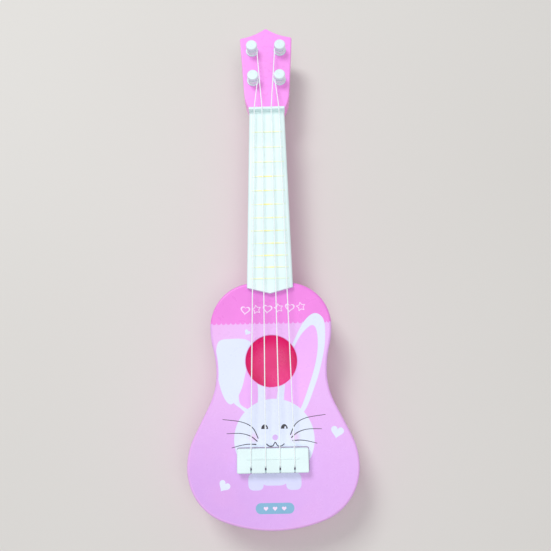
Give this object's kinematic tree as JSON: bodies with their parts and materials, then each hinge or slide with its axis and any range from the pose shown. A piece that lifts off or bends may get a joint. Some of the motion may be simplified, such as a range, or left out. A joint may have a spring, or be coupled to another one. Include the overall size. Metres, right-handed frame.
{
  "type": "toy guitar",
  "caption": "Child's hollow plastic guitar in the shape of a ukulele, with nylon strings that friction pegs tighten, lying on its flat back.",
  "frame": {"origin": "on the resting surface, under the middle of the overall length and width", "axes": "+Y from the body to the headstock, +Z out of the soundboard, +X across towards the right of someone looking at the soundboard with the headstock up"},
  "size_m": [0.1236, 0.3999, 0.0487],
  "materials": {
    "pink_shell": "gloss",
    "pink_panel": "gloss",
    "pink_neck": "gloss",
    "white_board": "satin",
    "white_fittings": "gloss",
    "nylon_string": "satin",
    "washer": "matte",
    "screw_steel": "satin"
  },
  "bodies": {
    "instrument": {"body_back_shell": "pink_shell", "body_front_panel": "pink_panel", "neck_shell": "pink_neck", "headstock_cover": "pink_neck", "fretboard": "white_board", "nut": "white_fittings", "bridge": "white_fittings", "string_1": "nylon_string", "string_2": "nylon_string", "string_3": "nylon_string", "string_4": "nylon_string", "body_screws": "screw_steel", "neck_screws": "screw_steel", "fretboard_screws": "screw_steel", "headstock_screws": "screw_steel", "bridge_screws": "screw_steel"},
    "peg_1": {"tuning_peg_1": "white_fittings", "string_winding_1": "nylon_string", "tuning_key_1": "white_fittings", "key_washer_1": "washer", "key_screw_1": "screw_steel"},
    "peg_2": {"tuning_peg_2": "white_fittings", "string_winding_2": "nylon_string", "tuning_key_2": "white_fittings", "key_washer_2": "washer", "key_screw_2": "screw_steel"},
    "peg_3": {"tuning_peg_3": "white_fittings", "string_winding_3": "nylon_string", "tuning_key_3": "white_fittings", "key_washer_3": "washer", "key_screw_3": "screw_steel"},
    "peg_4": {"tuning_peg_4": "white_fittings", "string_winding_4": "nylon_string", "tuning_key_4": "white_fittings", "key_washer_4": "washer", "key_screw_4": "screw_steel"}
  },
  "joints": [
    {"name": "peg_1_turn", "type": "hinge", "parent": "instrument", "child": "peg_1", "pos_m": [-0.011, 0.1509, 0.0295], "axis": [0, 0, 1], "continuous": true},
    {"name": "peg_2_turn", "type": "hinge", "parent": "instrument", "child": "peg_2", "pos_m": [-0.0117, 0.1784, 0.0295], "axis": [0, 0, 1], "continuous": true},
    {"name": "peg_3_turn", "type": "hinge", "parent": "instrument", "child": "peg_3", "pos_m": [0.0117, 0.1784, 0.0295], "axis": [0, 0, 1], "continuous": true},
    {"name": "peg_4_turn", "type": "hinge", "parent": "instrument", "child": "peg_4", "pos_m": [0.011, 0.1509, 0.0295], "axis": [0, 0, 1], "continuous": true}
  ]
}
